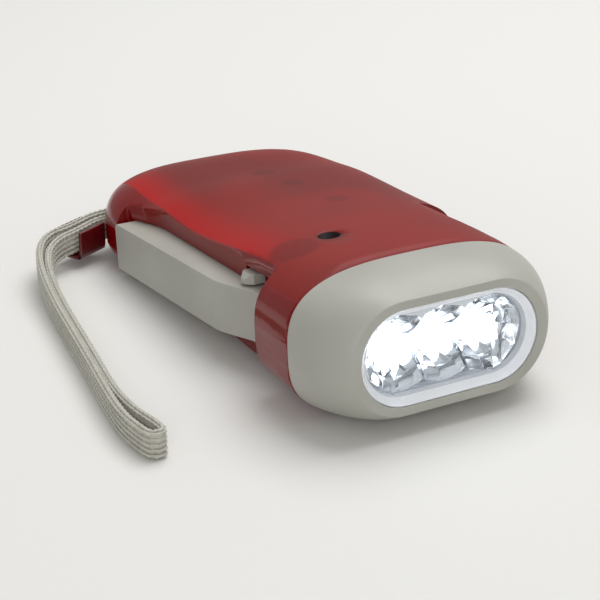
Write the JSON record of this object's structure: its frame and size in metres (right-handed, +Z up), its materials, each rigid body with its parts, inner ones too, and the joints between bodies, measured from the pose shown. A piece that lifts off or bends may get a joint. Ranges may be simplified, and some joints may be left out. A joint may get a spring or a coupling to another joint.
{
  "type": "dynamo flashlight",
  "caption": "Hand-squeeze dynamo pocket torch with a translucent body, side lever, LED head behind a clear lens and a wrist strap.",
  "frame": {"origin": "on the table under the middle of the torch's box, measured without the strap and sleeve", "axes": "+X towards the lens, -Y the lever side, +Z up; the torch rests on its head and tail, so the lens axis points up by about 5 degrees"},
  "size_m": [0.1132, 0.0806, 0.0271],
  "materials": {
    "red_shell": "translucent red, frosted on top",
    "grey_plastic": "moulded, satin",
    "clear_lens": "clear moulded plastic",
    "reflector_chrome": "vacuum plated",
    "led_lit": "clear epoxy, lit white",
    "board": "solder mask",
    "steel": "drawn",
    "cell_steel": "pressed",
    "contact": "sprung strip",
    "gear_plastic": "moulded acetal",
    "magnet": "sintered",
    "flywheel_steel": "turned",
    "core_steel": "stamped laminations",
    "copper": "enamelled winding",
    "black_plastic": "moulded",
    "wire": "insulated",
    "braid": "flat braid",
    "collar_red": "moulded sleeve"
  },
  "bodies": {
    "housing": {"top_shell": "red_shell", "bottom_shell": "red_shell", "head_bezel": "grey_plastic", "lens": "clear_lens", "reflector": "reflector_chrome", "led_left": "led_lit", "led_centre": "led_lit", "led_right": "led_lit", "led_board": "board", "lever_pivot_pin": "steel", "lever_return_spring": "steel", "first_gear_pin": "steel", "second_gear_pin": "steel", "stator_core": "core_steel", "coil_bobbin": "gear_plastic", "coil_winding": "copper", "circuit_board": "board", "rectifier_diodes": "black_plastic", "capacitor": "black_plastic", "cell_lower": "cell_steel", "cell_upper": "cell_steel", "cell_contact_lower": "contact", "cell_contact_upper": "contact", "switch_body": "black_plastic", "led_wires": "wire", "coil_wires": "wire", "shell_screws": "steel", "strap_pin": "steel", "wrist_strap": "braid", "strap_collar": "collar_red"},
    "lever": {"lever": "grey_plastic"},
    "gear_1": {"first_gear": "gear_plastic"},
    "gear_2": {"second_gear": "gear_plastic"},
    "rotor": {"rotor_pinion": "gear_plastic", "ratchet_wheel": "gear_plastic", "magnet_ring": "magnet", "flywheel": "flywheel_steel", "rotor_shaft": "steel"},
    "lock_slider": {"lock_slider": "grey_plastic"},
    "switch_knob": {"switch_knob": "black_plastic"}
  },
  "joints": [
    {"name": "lever_squeeze", "type": "hinge", "parent": "housing", "child": "lever", "pos_m": [0.02629, -0.01537, 0.01176], "axis": [-0.0875, 0, 0.9962], "range_deg": [0, 13]},
    {"name": "first_gear_turn", "type": "hinge", "parent": "housing", "child": "gear_1", "pos_m": [0.00378, 0.00614, 0.00979], "axis": [-0.0875, 0, 0.9962], "range_deg": [-83.57, 0]},
    {"name": "second_gear_turn", "type": "hinge", "parent": "housing", "child": "gear_2", "pos_m": [-0.01231, 0.0049, 0.00837], "axis": [-0.0875, 0, 0.9962], "range_deg": [0, 292.5]},
    {"name": "rotor_turn", "type": "hinge", "parent": "housing", "child": "rotor", "pos_m": [-0.02363, 0.00403, 0.00738], "axis": [-0.0875, 0, 0.9962], "range_deg": [-819.01, 0]},
    {"name": "lock_slide", "type": "slide", "parent": "housing", "child": "lock_slider", "axis": [0.9962, 0, 0.0875], "range_m": [0, 0.003]},
    {"name": "switch_slide", "type": "slide", "parent": "housing", "child": "switch_knob", "axis": [0.9962, 0, 0.0875], "range_m": [0, 0.003]}
  ],
  "couplings": [
    {"joint": "first_gear_turn", "follows": "lever_squeeze", "ratio": -6.4286},
    {"joint": "second_gear_turn", "follows": "lever_squeeze", "ratio": 22.5},
    {"joint": "rotor_turn", "follows": "lever_squeeze", "ratio": -63}
  ]
}
